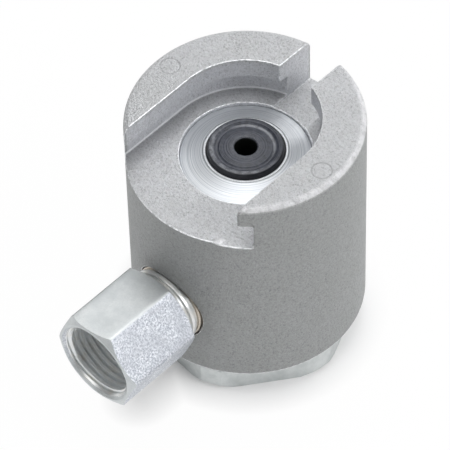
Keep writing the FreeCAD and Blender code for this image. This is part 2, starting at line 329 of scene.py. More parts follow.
def dress(piece, body, material, slot, *nodes):
    """Give a piece its material, its body and the nodes that it stands for; its slot is not used."""
    piece.data.materials.clear()
    piece.data.materials.append(material)
    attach(piece, body)
    if nodes:
        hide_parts(*nodes)


# Materials

class Tree:
    """Short calls for a material's nodes."""

    def __init__(self, name):
        self.material = bpy.data.materials.new(name)
        self.material.use_nodes = True
        self.nodes = self.material.node_tree.nodes
        self.links = self.material.node_tree.links
        self.shader = self.nodes["Principled BSDF"]
        self.place = self.nodes.new("ShaderNodeTexCoord").outputs["Object"]
        self.parts = None

    def feed(self, socket, value):
        if isinstance(value, bpy.types.NodeSocket):
            self.links.new(value, socket)
        else:
            socket.default_value = value

    def set(self, **values):
        for name, value in values.items():
            self.feed(self.shader.inputs[name.replace("_", " ")], value)

    def math(self, operation, first, second=0.0):
        node = self.nodes.new("ShaderNodeMath")
        node.operation = operation
        self.feed(node.inputs[0], first)
        self.feed(node.inputs[1], second)
        return node.outputs[0]

    def axis(self, name):
        if self.parts is None:
            node = self.nodes.new("ShaderNodeSeparateXYZ")
            self.links.new(self.place, node.inputs[0])
            self.parts = node.outputs
        return self.parts[name]

    def product(self, *factors):
        """All the factors multiplied together."""
        result = factors[0]
        for factor in factors[1:]:
            result = self.math("MULTIPLY", result, factor)
        return result

    def distance(self, first, second):
        """Length of the diagonal of two offsets at right angles."""
        squares = [self.math("MULTIPLY", offset, offset) for offset in (first, second)]
        return self.math("SQRT", self.math("ADD", *squares))

    def radius(self, across, along, centre=0.0):
        """Distance from an axis, from the two coordinates across it."""
        return self.distance(self.axis(across), self.math("SUBTRACT", self.axis(along), centre))

    def noise(self, size, detail=2.0, roughness=0.5):
        """Noise with grains of about the given size in millimetres."""
        node = self.nodes.new("ShaderNodeTexNoise")
        node.inputs["Scale"].default_value = 1 / (size * MM)
        node.inputs["Detail"].default_value = detail
        node.inputs["Roughness"].default_value = roughness
        self.links.new(self.place, node.inputs["Vector"])
        return node.outputs["Fac"]

    def rings(self, radius, size, detail=2.0):
        """Fine rings of uneven strength that follow a radius, as a turning tool leaves them."""
        node = self.nodes.new("ShaderNodeTexNoise")
        node.noise_dimensions = "1D"
        node.inputs["Scale"].default_value = 1 / (size * MM)
        node.inputs["Detail"].default_value = detail
        self.links.new(radius, node.inputs["W"])
        return node.outputs["Fac"]

    def span(self, value, from_low, from_high, to_low=0.0, to_high=1.0):
        node = self.nodes.new("ShaderNodeMapRange")
        self.feed(node.inputs["Value"], value)
        node.inputs["From Min"].default_value = from_low
        node.inputs["From Max"].default_value = from_high
        self.feed(node.inputs["To Min"], to_low)
        self.feed(node.inputs["To Max"], to_high)
        return node.outputs[0]

    def rise(self, value, start, end):
        """From 0 to 1 as a length goes from start to end, both in millimetres."""
        return self.span(value, start * MM, end * MM)

    def blend(self, factor, first, second, mode="MIX"):
        node = self.nodes.new("ShaderNodeMix")
        node.data_type = "RGBA"
        node.blend_type = mode
        self.feed(node.inputs[0], factor)
        self.feed(node.inputs[6], first)
        self.feed(node.inputs[7], second)
        return node.outputs[2]

    def bump(self, height, depth, strength=1.0, under=None):
        """Relief of a depth in millimetres, over any relief already made."""
        node = self.nodes.new("ShaderNodeBump")
        node.inputs["Distance"].default_value = depth * MM
        node.inputs["Strength"].default_value = strength
        self.links.new(height, node.inputs["Height"])
        if under is not None:
            self.links.new(under, node.inputs["Normal"])
        return node.outputs[0]

    def facing(self, axis):
        """How far the surface faces along an axis of the scene: 1 straight along it, 0 side on."""
        node = self.nodes.new("ShaderNodeSeparateXYZ")
        self.links.new(self.nodes.new("ShaderNodeNewGeometry").outputs["True Normal"], node.inputs[0])
        return node.outputs[axis]


def cast_alloy():
    """Blasted casting: an even bright and dark grain, with painted shade on the outer sides and painted light
    in the slot.
    """
    tree = Tree("cast body")
    facing_up = tree.facing("Z")
    grain = tree.noise(0.32, 3.0, 0.66)
    fine = tree.noise(0.14, 2.0, 0.6)
    mottle = tree.noise(0.8, 3.0, 0.6)
    cloud = tree.noise(7.0, 2.0)
    mixed = tree.math("ADD", tree.math("MULTIPLY", grain, 0.55), tree.math("MULTIPLY", fine, 0.45))
    colour = tree.blend(tree.span(mottle, 0.35, 0.65), (0.655, 0.662, 0.68, 1), (0.72, 0.73, 0.75, 1))
    colour = tree.blend(tree.span(cloud, 0.35, 0.7, 0.0, 0.3), colour, (0.63, 0.645, 0.64, 1))
    bright = tree.product(tree.span(mixed, 0.53, 0.62), 0.62)
    dark = tree.product(tree.span(mixed, 0.47, 0.38), tree.span(facing_up, 0.1, 0.9, 0.5, 0.54))
    colour = tree.blend(bright, colour, (0.84, 0.85, 0.87, 1))
    colour = tree.blend(dark, colour, (0.3, 0.305, 0.31, 1))

    radius = tree.radius("X", "Y")
    # Painted shade: the outer side is darkened against the top.
    painted_side_shade = tree.rise(radius, body_radius - 0.4, body_radius - 0.1)
    painted_side_shade = tree.product(painted_side_shade, tree.span(facing_up, 0.75, 0.3))
    colour = tree.blend(painted_side_shade, colour, (0.58, 0.587, 0.575, 1), "MULTIPLY")
    # Painted light: the slot's floor and walls are lightened a little.
    in_slot = tree.product(
        tree.rise(tree.axis("Z"), body_top_z - 0.3, body_top_z - 0.6),
        tree.rise(radius, body_radius - 0.3, body_radius - 0.6),
    )
    painted_slot_light = tree.blend(tree.span(facing_up, 0.9, 0.4), (1.08, 1.08, 1.08, 1), (1.07, 1.07, 1.09, 1))
    colour = tree.blend(in_slot, colour, tree.blend(1.0, colour, painted_slot_light, "MULTIPLY"))

    # Painted shade and a painted highlight along the slot's foot.
    colour = slot_foot(tree, facing_up, colour)
    # Painted highlight on the top's rim.
    colour = rim_highlight(tree, facing_up, radius, mottle, colour)
    # Painted shade round the ejector marks.
    colour = ejector_rings(tree, colour)
    rough = tree.span(mixed, 0.35, 0.65, 0.62, 0.5)
    grain_height = tree.product(grain, tree.span(facing_up, 0.2, 0.9, 0.55, 1.0))
    relief = tree.bump(fine, 0.12, 0.9, tree.bump(grain_height, 0.42))
    tree.set(Base_Color=colour, Metallic=0.6, Roughness=rough, Normal=relief)
    return tree.material


def slot_foot(tree, facing_up, colour):
    """Painted shade on the floor along the undercut's wall, left of the exit slot, and a painted highlight
    along the wall's foot.
    """
    wall = undercut_half_width
    reach = tree.distance(tree.axis("X"), tree.math("MAXIMUM", tree.axis("Y"), 0.0))
    near_floor = tree.rise(tree.axis("Z"), floor_z + 0.6, floor_z + 0.3)
    # Painted shade on the floor near the undercut's wall, left of the exit slot.
    painted_wall_shade = tree.product(
        tree.rise(reach, wall - 3, wall - 0.4),
        tree.rise(reach, wall + 0.1, wall),
        tree.rise(tree.axis("X"), -exit_half_width, -exit_half_width - 0.6),
        near_floor,
        tree.span(facing_up, 0.9, 0.98),
    )
    colour = tree.blend(painted_wall_shade, colour, (0.6, 0.6, 0.61, 1), "MULTIPLY")
    # Painted highlight along the foot of the undercut's wall.
    painted_foot_highlight = tree.product(
        tree.span(facing_up, 0.1, 0.25),
        tree.span(facing_up, 0.97, 0.9),
        near_floor,
        tree.rise(reach, wall - 0.4, wall - 0.35),
        0.9,
    )
    return tree.blend(painted_foot_highlight, colour, (0.95, 0.96, 0.98, 1))


def rim_highlight(tree, facing_up, radius, mottle, colour):
    """Painted highlight in patches on the top's rounded rim, on the +X side."""
    # Painted highlight: the mask below lightens the rim's fillet.
    worn = tree.product(
        tree.span(facing_up, 0.2, 0.45),
        tree.span(facing_up, 0.985, 0.93),
        tree.rise(radius, body_radius - 1.1, body_radius - 0.9),
        tree.rise(tree.axis("X"), 2, 8),
        tree.span(mottle, 0.35, 0.6, 0.3, 0.75),
    )
    return tree.blend(worn, colour, (0.97, 0.97, 0.99, 1))


def ejector_rings(tree, colour):
    """A dark line round each ejector mark, painted shade for the mark's shallow groove."""
    from_mark = tree.math("SUBTRACT", tree.math("ABSOLUTE", tree.axis("X")), ejector_mark_distance * MM)
    off_ring = tree.math("SUBTRACT", tree.distance(from_mark, tree.axis("Y")), ejector_mark_radius * MM)
    painted_ring_shade = tree.product(
        tree.span(tree.math("ABSOLUTE", off_ring), 0.15 * MM, 0.03 * MM, 0.0, 0.6),
        tree.rise(tree.axis("Z"), body_top_z - 0.4, body_top_z - 0.2),
    )
    return tree.blend(painted_ring_shade, colour, (0.36, 0.365, 0.375, 1))


def worn_and_highlit_alloy():
    """The same casting on its rounded edges, lighter in patches: partly rubbed by handling, partly a painted
    highlight.
    """
    tree = Tree("worn and highlit edges")
    patch = tree.noise(0.45, 3.0, 0.65)
    # Partly wear, partly painted highlight: the edges are lighter than the casting in patches.
    colour = tree.blend(tree.span(patch, 0.38, 0.56), (0.56, 0.57, 0.585, 1), (0.9, 0.91, 0.93, 1))
    relief = tree.bump(patch, 0.06, 0.4)
    tree.set(Base_Color=colour, Metallic=0.85, Roughness=tree.span(patch, 0.4, 0.6, 0.5, 0.32), Normal=relief)
    return tree.material


def zinc_plate():
    """Zinc plate: smooth on most faces, with a frosty bluish crystal pattern where it faces +X."""
    tree = Tree("zinc plated steel")
    frost = tree.noise(0.26, 4.0, 0.8)
    speck = tree.noise(0.13, 2.0, 0.6)
    smudge = tree.noise(2.5, 3.0, 0.6)
    frosted = tree.span(tree.facing("X"), 0.45, 0.7)
    smooth = tree.blend(tree.span(smudge, 0.35, 0.65), (0.60, 0.63, 0.64, 1), (0.71, 0.735, 0.74, 1))
    smooth = tree.blend(tree.span(frost, 0.45, 0.6, 0.0, 0.3), smooth, (0.5, 0.53, 0.54, 1))
    crystal = tree.blend(tree.span(frost, 0.42, 0.58), (0.36, 0.39, 0.45, 1), (0.84, 0.86, 0.90, 1))
    crystal = tree.blend(tree.span(smudge, 0.42, 0.62, 0.0, 0.45), crystal, (0.46, 0.48, 0.53, 1))
    colour = tree.blend(tree.math("MULTIPLY", frosted, 0.95), smooth, crystal)
    rough = tree.span(frost, 0.35, 0.65, 0.54, 0.42)
    height = tree.math("MULTIPLY", frost, tree.span(frosted, 0.0, 1.0, 0.3, 1.0))
    relief = tree.bump(height, 0.05, 0.6)
    relief = tree.bump(speck, 0.015, 0.4, relief)
    tree.set(Base_Color=colour, Metallic=0.95, Roughness=rough, Normal=relief)
    return tree.material


def plug_plate():
    """The same plate on the plug, duller, with soft smudges."""
    tree = Tree("plated plug")
    smudge = tree.noise(1.6, 3.0, 0.6)
    speck = tree.noise(0.15, 2.0, 0.6)
    colour = tree.blend(tree.span(smudge, 0.35, 0.65), (0.57, 0.60, 0.60, 1), (0.67, 0.695, 0.695, 1))
    relief = tree.bump(speck, 0.02, 0.4)
    polish = tree.span(smudge, 0.35, 0.65, 0.43, 0.37)
    tree.set(Base_Color=colour, Metallic=0.95, Roughness=polish, Normal=relief)
    return tree.material


def turned_plate():
    """Zinc plate over turning rings that follow the body's axis."""
    tree = Tree("turned piston steel")
    radius = tree.radius("X", "Y")
    fine = tree.rings(radius, 0.14, 1.5)
    coarse = tree.rings(radius, 0.6, 1.0)
    speck = tree.noise(0.25, 2.0)
    tone = tree.blend(tree.span(fine, 0.36, 0.64), (0.57, 0.60, 0.635, 1), (0.78, 0.80, 0.82, 1))
    relief = tree.bump(fine, 0.02, 0.9)
    relief = tree.bump(speck, 0.01, 0.3, relief)
    tree.set(Base_Color=tone, Metallic=0.9, Roughness=tree.span(coarse, 0.3, 0.7, 0.46, 0.54), Normal=relief)
    return tree.material


def ringed_plate(name, metallic, rough, dark, light):
    """Zinc plate over turning rings that follow the inlet's axis, with a faint warm tint."""
    tree = Tree(name)
    radius = tree.radius("X", "Z", inlet_axis_z * MM)
    fine = tree.rings(radius, 0.07, 2.0)
    cloud = tree.noise(1.2, 2.0)
    tone = tree.blend(tree.span(fine, 0.3, 0.7), dark, light)
    tone = tree.blend(tree.span(cloud, 0.45, 0.7, 0.0, 0.4), tone, (0.84, 0.8, 0.72, 1))
    relief = tree.bump(fine, 0.012, 0.6)
    tree.set(Base_Color=tone, Metallic=metallic, Roughness=rough, Normal=relief)
    return tree.material


def plain_metal(name, colour, rough):
    """Bare metal with a fine uneven tone and polish."""
    tree = Tree(name)
    cloud = tree.noise(0.2, 3.0)
    darker = tuple(0.8 * part for part in colour[:3]) + (1.0,)
    tone = tree.blend(tree.span(cloud, 0.35, 0.65), darker, colour)
    relief = tree.bump(cloud, 0.01, 0.3)
    polish = tree.span(cloud, 0.3, 0.7, rough + 0.08, rough)
    tree.set(Base_Color=tone, Metallic=1.0, Roughness=polish, Normal=relief)
    return tree.material


def moulded(name, colour, rough, grain, depth):
    """Rubber, fibre or plastic: a fine moulded grain with uneven tone."""
    tree = Tree(name)
    fine = tree.noise(grain, 3.0, 0.6)
    cloud = tree.noise(grain * 9, 2.0)
    darker = tuple(0.7 * part for part in colour[:3]) + (1.0,)
    tone = tree.blend(tree.span(cloud, 0.3, 0.7), darker, colour)
    relief = tree.bump(fine, depth, 0.6)
    polish = tree.span(fine, 0.3, 0.7, rough - 0.08, rough + 0.08)
    tree.set(Base_Color=tone, Metallic=0.0, Roughness=polish, Normal=relief)
    return tree.material


def seal_rubber():
    """Dark rubber with the mould's rings and dust, painted highlights on the bead towards the mouth and in
    the groove on the far side, painted shade on its outer side and in its hole, and a scuffed hole.
    """
    tree = Tree("seal rubber")
    radius = tree.radius("X", "Y")
    mould = tree.rings(radius, 0.18, 1.5)
    fine = tree.noise(0.09, 3.0, 0.6)
    dust = tree.noise(0.7, 4.0, 0.68)
    tone = tree.blend(tree.span(dust, 0.4, 0.68), (0.015, 0.018, 0.028, 1), (0.056, 0.063, 0.084, 1))
    tone = tree.blend(tree.span(mould, 0.5, 0.66, 0.0, 0.5), tone, (0.105, 0.112, 0.135, 1))
    # Painted highlight on the bead's crest towards the mouth, in patches.
    painted_crest_highlight = tree.product(
        tree.rise(radius, 4.1, 4.4),
        tree.rise(radius, 4.95, 4.8),
        tree.rise(tree.axis("Y"), 1.5, -3.0),
        tree.span(dust, 0.42, 0.6, 0.25, 1.0),
        0.8,
    )
    tone = tree.blend(painted_crest_highlight, tone, (0.25, 0.26, 0.28, 1))
    # Painted highlight in the groove on the far side, in patches.
    painted_slope_highlight = tree.product(
        tree.rise(radius, 3.55, 3.7),
        tree.rise(radius, 4.15, 3.95),
        tree.rise(tree.axis("Y"), 1.0, 3.4),
        tree.span(dust, 0.36, 0.5, 0.2, 1.0),
        0.75,
    )
    tone = tree.blend(painted_slope_highlight, tone, (0.28, 0.29, 0.315, 1))
    # Painted shade: the bead's outer slope and the side wall below it are darkened to near black.
    tone = tree.blend(tree.span(radius, 4.84 * MM, 4.95 * MM, 0.0, 0.8), tone, (0.006, 0.007, 0.01, 1))
    crumbs = tree.product(tree.rise(radius, 2.7, 1.6), tree.span(fine, 0.5, 0.62), 0.6)
    tone = tree.blend(crumbs, tone, (0.19, 0.197, 0.215, 1))
    # Painted shade: the hole's inside is near black.
    tone = tree.blend(tree.rise(radius, 1.6, 1.52), tone, (0.004, 0.005, 0.004, 1))
    relief = tree.bump(mould, 0.09, 0.8)
    relief = tree.bump(dust, 0.08, 0.5, relief)
    relief = tree.bump(fine, 0.03, 0.7, relief)
    tree.set(Base_Color=tone, Metallic=0.0, Roughness=tree.span(dust, 0.35, 0.65, 0.28, 0.44), Normal=relief)
    return tree.material


# Pieces

def main_bore():
    """The stepped bore from the base: the plug's thread, the main bore, the shoulder and the neck."""
    below = body_base_z - cut_overrun
    above = floor_z + cut_overrun
    profile = [
        (0, below),
        (plug_thread_radius, below),
        (plug_thread_radius, plug_thread_top_z),
        (main_bore_radius, plug_thread_top_z),
        (main_bore_radius, shoulder_z),
        (neck_bore_radius, shoulder_z),
        (neck_bore_radius, above),
        (0, above),
    ]
    return turned("bore", profile, 128)


def head_slot():
    """The T-slot: a rounded foot and corner in the undercut, a rounded lip, and the neck above."""
    foot = (undercut_half_width - undercut_foot_radius, floor_z + undercut_foot_radius)
    corner = (undercut_half_width - undercut_corner_radius, undercut_top_z - undercut_corner_radius)
    lip = (neck_half_width + lip_edge_radius, undercut_top_z + lip_edge_radius)
    layers = [
        *arc(foot, undercut_foot_radius, -90, 0, 3),
        *arc(corner, undercut_corner_radius, 0, 90, 2),
        *arc(lip, lip_edge_radius, 270, 180, 4),
        (neck_half_width, body_top_z + cut_overrun),
    ]
    return stacked("slot space", layers, 72)


def exit_way():
    """The narrow exit slot behind the seat, a little deeper than the floor."""
    low = (-exit_half_width, 0, floor_z - exit_extra_depth)
    high = (exit_half_width, body_radius + cut_overrun, body_top_z + cut_overrun)
    return block("exit way", low, high)


def mouth_ramp():
    """The way in at the mouth's right side: level at first, then a slope up to the floor."""
    mouth_y = -body_radius - cut_overrun
    end_y = mouth_ramp_flat_length + mouth_ramp_slope_length - body_radius
    wall_x = undercut_half_width - mouth_ramp_wall_gap
    top_z = floor_z + mouth_ramp_overlap
    inner_z = floor_z - mouth_ramp_depth * mouth_ramp_inner_share
    outer_z = floor_z - mouth_ramp_depth * mouth_ramp_outer_share
    points = [
        (mouth_ramp_inner_x, mouth_y, top_z),
        (mouth_ramp_inner_x + mouth_ramp_side_width, mouth_y, inner_z),
        (wall_x, mouth_y, outer_z),
        (wall_x, mouth_ramp_flat_length - body_radius, outer_z),
        (wall_x, mouth_y, top_z),
        (wall_x, end_y, top_z),
        (mouth_ramp_inner_x + mouth_ramp_end_shift, end_y, top_z),
    ]
    return hull("mouth ramp", points)


def inlet_port():
    """The hole for the inlet's spigot, with the spot face for its washer."""
    washer_seat = -inlet_mouth_y - body_radius + spot_face_depth
    spot_radius = collar_back_radius + spot_face_gap
    inner_end = -inlet_mouth_y - main_bore_radius + cut_overrun
    profile = [
        (0, washer_seat - spot_face_reach),
        (spot_radius, washer_seat - spot_face_reach),
        (spot_radius, washer_seat),
        (spigot_radius, washer_seat),
        (spigot_radius, inner_end),
        (0, inner_end),
    ]
    return turned("port", profile, 96, about_inlet)


def ejector_mark(side):
    """The shallow ring that an ejector pin leaves on one jaw, on the -X or the +X side."""
    middle_z = body_top_z - ejector_mark_depth * 0.3
    profile = [
        (0, middle_z),
        (ejector_mark_radius - 0.2, middle_z),
        (ejector_mark_radius - 0.06, body_top_z - ejector_mark_depth),
        (ejector_mark_radius, body_top_z - ejector_mark_depth * 0.9),
        (ejector_mark_radius + 0.27, body_top_z + 0.05),
        (0, body_top_z + 0.02),
    ]
    mark = turned(f"ejector mark {side}", profile, 64)
    mark.data.transform(Matrix.Translation((side * ejector_mark_distance * MM, 0, 0)))
    return mark


def body_casting():
    """A turned blank with the bore, slot, exit way, ramp, port and marks cut out, the bore first."""
    low_z = body_base_z + base_chamfer
    high_z = body_top_z - rim_fillet
    side_rows = 28
    profile = [
        (0, body_base_z),
        (body_radius - base_chamfer, body_base_z),
        *[(body_radius, low_z + (high_z - low_z) * k / side_rows) for k in range(side_rows)],
        *arc((body_radius - rim_fillet, high_z), rim_fillet, 0, 90, 8),
        (0, body_top_z),
    ]
    casting = turned("body_casting", profile, 192)
    tools = [main_bore(), head_slot(), exit_way(), mouth_ramp(), inlet_port()]
    tools += [ejector_mark(side) for side in (-1, 1)]
    carve(casting, tools)
    rounding = soften(casting, 0.13)
    dress(casting, "housing", cast_alloy(), "cast_body", "coupler_body")
    # The rounded edges take a lighter material: wear from handling and a painted highlight.
    casting.data.materials.append(worn_and_highlit_alloy())
    rounding.material = 1


def rounded_hexagon(flats, corner_round):
    """Column angles and radii of a hexagon with rounded corners, from its first corner on."""
    half = flats / 2
    centre = (half - corner_round) / math.cos(math.radians(30))
    tangent = math.degrees(math.atan2(corner_round / 2, centre + corner_round * math.cos(math.radians(30))))
    steps = 14
    offsets = [0, tangent / 2]
    offsets += [tangent + (60 - 2 * tangent) * k / steps for k in range(steps + 1)]
    offsets.append(60 - tangent / 2)
    columns = []
    for side in range(6):
        for offset in offsets:
            off_corner = math.radians(min(offset, 60 - offset))
            if math.degrees(off_corner) < tangent - 1e-6:
                under_root = corner_round ** 2 - (centre * math.sin(off_corner)) ** 2
                radius = centre * math.cos(off_corner) + math.sqrt(under_root)
            else:
                radius = half / math.cos(math.radians(30) - off_corner)
            columns.append((side * 60 + offset, radius))
    return columns


def thread_radius_at(phase):
    """Radius of the inner thread at a share of its pitch: a narrow root, two flanks and a wide crest."""
    root, crest = 0.1, 0.5
    flank = (1 - root - crest) / 2
    if phase < root:
        depth = 0
    elif phase < root + flank:
        depth = (phase - root) / flank
    elif phase < root + flank + crest:
        depth = 1
    else:
        depth = (1 - phase) / flank
    return thread_major_radius - thread_depth * depth


def lead_in_radius(distance):
    """Radius of the mouth's broken edge and of the tapered way in behind it."""
    edge = min(distance, mouth_edge_length)
    return mouth_radius - edge * mouth_edge_slope - (distance - edge) * lead_in_slope


def inlet_body():
    """The inlet: a hexagon with its thread inside, a collar of two rings, and the spigot."""
    columns = rounded_hexagon(hex_flats, hex_corner_round)
    mesh = bmesh.new()

    placed = [(hex_turn + angle, radius) for angle, radius in columns]

    def loop(rule):
        return looped(placed, rule, about_inlet)

    def slope_end(radius, face_radius):
        return max(0.0, (radius - face_radius) * math.tan(math.radians(hex_end_angle)))

    def collar(radius, start, end):
        """A ring of the collar with its two edges rounded."""
        low = arc((radius - collar_edge, start + collar_edge), collar_edge, -90, 0, 3)
        high = arc((radius - collar_edge, end - collar_edge), collar_edge, 0, 90, 3)
        return low + high

    groove_start = hex_length + collar_ring_length
    groove_end = groove_start + collar_groove_length
    back_end = groove_end + collar_back_length
    groove_radius = collar_radius - collar_groove_depth
    shank_start = -inlet_mouth_y + WASHER_LOW.y
    chamber_end = thread_length + drill_length
    round_parts = [
        *collar(collar_radius, hex_length, groove_start),
        (groove_radius, groove_start),
        (groove_radius, groove_end),
        *collar(collar_back_radius, groove_end, back_end),
        (groove_radius, back_end),
        (groove_radius, shank_start),
        (spigot_radius - thread_gap, shank_start),
        (spigot_radius - thread_gap, adapter_length),
        (chamber_radius, adapter_length),
        (chamber_radius, chamber_end),
        (drill_radius, chamber_end),
        (drill_radius, thread_length),
        (thread_major_radius, thread_length),
    ]
    loops = [
        loop(lambda radius: (mouth_radius, 0)),
        loop(lambda radius: (min(radius, hex_mouth_radius), 0)),
        loop(lambda radius: (radius, slope_end(radius, hex_mouth_radius))),
        loop(lambda radius: (radius, hex_length - slope_end(radius, hex_back_radius))),
        loop(lambda radius: (min(radius, hex_back_radius), hex_length)),
    ]
    for ring_radius, distance in round_parts:
        loops.append(loop(lambda radius: (ring_radius, distance)))
    skin(mesh, loops, closed=False)

    rows_per_turn = 20
    turns = math.ceil(thread_length / thread_pitch) + 1

    def thread_point(row, column):
        """A point of the helix, held between the mouth's edge and the thread's end."""
        angle = columns[column % len(columns)][0] + 360 * (column // len(columns))
        distance = thread_pitch * (row / rows_per_turn + angle / 360 - 1)
        radius = thread_radius_at((row / rows_per_turn) % 1)
        if distance >= thread_length:
            distance = thread_length
            radius = thread_major_radius
        distance = max(distance, 0)
        return about_inlet(max(radius, lead_in_radius(distance)), hex_turn + angle, distance)

    for row in range(rows_per_turn * turns):
        for column in range(len(columns)):
            corners = [(row, column), (row, column + 1), (row + 1, column + 1), (row + 1, column)]
            mesh.faces.new([mesh.verts.new(thread_point(*at) * MM) for at in corners])
    piece = finished("inlet_body", mesh)
    sharpen(piece, 28)
    dress(piece, "housing", zinc_plate(), "plated_steel", "inlet_adapter")
    collar_tones = (0.72, 0.74, 0.74, 1), (0.86, 0.87, 0.87, 1)
    # Painted light: the thread inside the mouth takes much lighter tones than the plate outside.
    painted_light_thread_tones = (0.84, 0.87, 0.88, 1), (0.95, 0.97, 0.98, 1)
    piece.data.materials.append(ringed_plate("turned inlet steel", 0.8, 0.38, *collar_tones))
    piece.data.materials.append(ringed_plate("threaded inlet steel with painted light", 0.6, 0.3, *painted_light_thread_tones))
    thread_start = lead_in_radius(mouth_edge_length)
    for face in piece.data.polygons:
        middle = face.center / MM
        if middle.y - inlet_mouth_y > hex_length - 0.01:
            face.material_index = 1
        elif math.hypot(middle.x, middle.z - inlet_axis_z) < thread_start:
            face.material_index = 2


def inlet_ring():
    """The crush washer between the collar and the body."""
    outer = collar_back_radius - 0.02
    inner = spigot_radius
    near = WASHER_LOW.y - inlet_mouth_y
    far = WASHER_HIGH.y - inlet_mouth_y
    edge = 0.2
    profile = [
        (inner, near),
        *arc((outer - edge, near + edge), edge, 270, 360, 4),
        *arc((outer - edge, far - edge), edge, 0, 90, 4),
        (inner, far),
    ]
    piece = turned("inlet_ring", profile, 128, about_inlet)
    sharpen(piece, 28)
    washer_metal = plain_metal("washer metal", (0.62, 0.56, 0.48, 1), 0.3)
    dress(piece, "housing", washer_metal, "washer_metal", "inlet_washer")


def plug_nut():
    """The end plug: a hexagon with corners turned round, and a screwed shank with its pocket."""
    half = plug_hex_flats / 2
    limit = math.degrees(math.acos(half / plug_corner_radius))
    offsets = [-30 + (30 - limit) * k / 4 for k in range(4)]
    offsets += [-limit + 2 * limit * k / 8 for k in range(9)]
    offsets += [limit + (30 - limit) * k / 4 for k in range(1, 4)]
    columns = []
    for side in range(6):
        for offset in offsets:
            radius = min(half / math.cos(math.radians(offset)), plug_corner_radius)
            columns.append((plug_turn + 60 * side + offset, radius))

    def loop(rule):
        return looped(columns, rule, about_body)

    flat_low = plug_corner_radius - plug_edge_chamfer

    def foot(radius):
        return max(0.0, radius - flat_low)

    thread = plug_thread_radius - thread_gap
    relief = plug_thread_radius - plug_relief_depth
    relief_end = body_base_z + plug_relief_length
    top = plug_thread_top_z
    pocket_z = top - plug_pocket_depth
    loops = [
        loop(lambda radius: (plug_cap_radius, 0)),
        loop(lambda radius: (min(radius, flat_low), 0)),
        loop(lambda radius: (radius, foot(radius))),
        loop(lambda radius: (radius, plug_hex_height - plug_top_edge)),
        loop(lambda radius: (radius - plug_top_edge, plug_hex_height)),
    ]
    shank = [
        (relief, plug_hex_height),
        (relief, relief_end),
        (thread, relief_end),
        (thread, top - plug_thread_chamfer),
        (thread - plug_thread_chamfer, top),
        (plug_pocket_radius, top),
        (plug_pocket_radius, pocket_z),
        (plug_cap_radius, pocket_z),
    ]
    for ring_radius, height in shank:
        loops.append(loop(lambda radius: (ring_radius, height)))
    piece = capped("plug_nut", loops)
    sharpen(piece, 20)
    dress(piece, "housing", plug_plate(), "plated_steel", "end_plug")


def piston_head():
    """The piston: a recessed rim, a cone up to the cup, a skirt, and a stem with a groove."""
    rim_z = floor_z - face_recess
    cone_top_z = CUP_HIGH.z - cup_lip_rise
    cup_radius = CUP_HIGH.x
    neck = neck_bore_radius - piston_neck_gap
    skirt = PISTON_HIGH.x
    skirt_top = shoulder_z - shoulder_gap
    skirt_low = skirt_top - skirt_length
    groove = stem_radius - stem_groove_depth
    washer_low = skirt_low - packing_length - backup_washer_thickness
    ring_low = washer_low - snap_ring_gap - snap_ring_thickness - snap_ring_gap
    low = PISTON_LOW.z
    web_z = CUP_LOW.z - web_thickness
    edge = piston_edge
    cone_steps = 9
    cone = []
    for k in range(1, cone_steps):
        share = k / cone_steps
        sag = cone_sag * math.sin(math.pi * share)
        ring_radius = neck - edge + (cup_radius - neck + edge) * share
        cone.append((ring_radius, rim_z + (cone_top_z - rim_z) * share - sag))
    profile = [
        (grease_hole_radius, web_z),
        (stem_bore_radius, web_z),
        (stem_bore_radius, low),
        (stem_radius, low),
        (stem_radius, ring_low),
        (groove, ring_low),
        (groove, washer_low),
        (stem_radius, washer_low),
        (stem_radius, skirt_low),
        (skirt, skirt_low),
        (skirt, skirt_top),
        (neck, skirt_top),
        *arc((neck - edge, rim_z - edge), edge, 0, 72, 4),
        *cone,
        (cup_radius, cone_top_z),
        (cup_radius, CUP_LOW.z),
        (grease_hole_radius, CUP_LOW.z),
    ]
    piece = turned("piston_head", profile, 160)
    sharpen(piece, 28)
    dress(piece, "piston_group", turned_plate(), "turned_steel", "piston")


def cup_ring():
    """The thin cup round the seal, with a rounded lip."""
    outer = CUP_HIGH.x
    inner = outer - cup_wall
    lip = CUP_HIGH.z
    low = CUP_LOW.z
    profile = [
        (grease_hole_radius, low),
        (outer, low),
        *arc((outer - cup_outer_round, lip - cup_outer_round), cup_outer_round, 0, 90, 5),
        *arc((inner + cup_inner_round, lip - cup_inner_round), cup_inner_round, 90, 180, 3),
        (inner, low + cup_base),
        (grease_hole_radius, low + cup_base),
    ]
    piece = turned("cup_ring", profile, 160)
    sharpen(piece, 34)
    cup_steel = plain_metal("cup steel", (0.56, 0.58, 0.6, 1), 0.48)
    dress(piece, "piston_group", cup_steel, "cup_steel", "seal_cup")


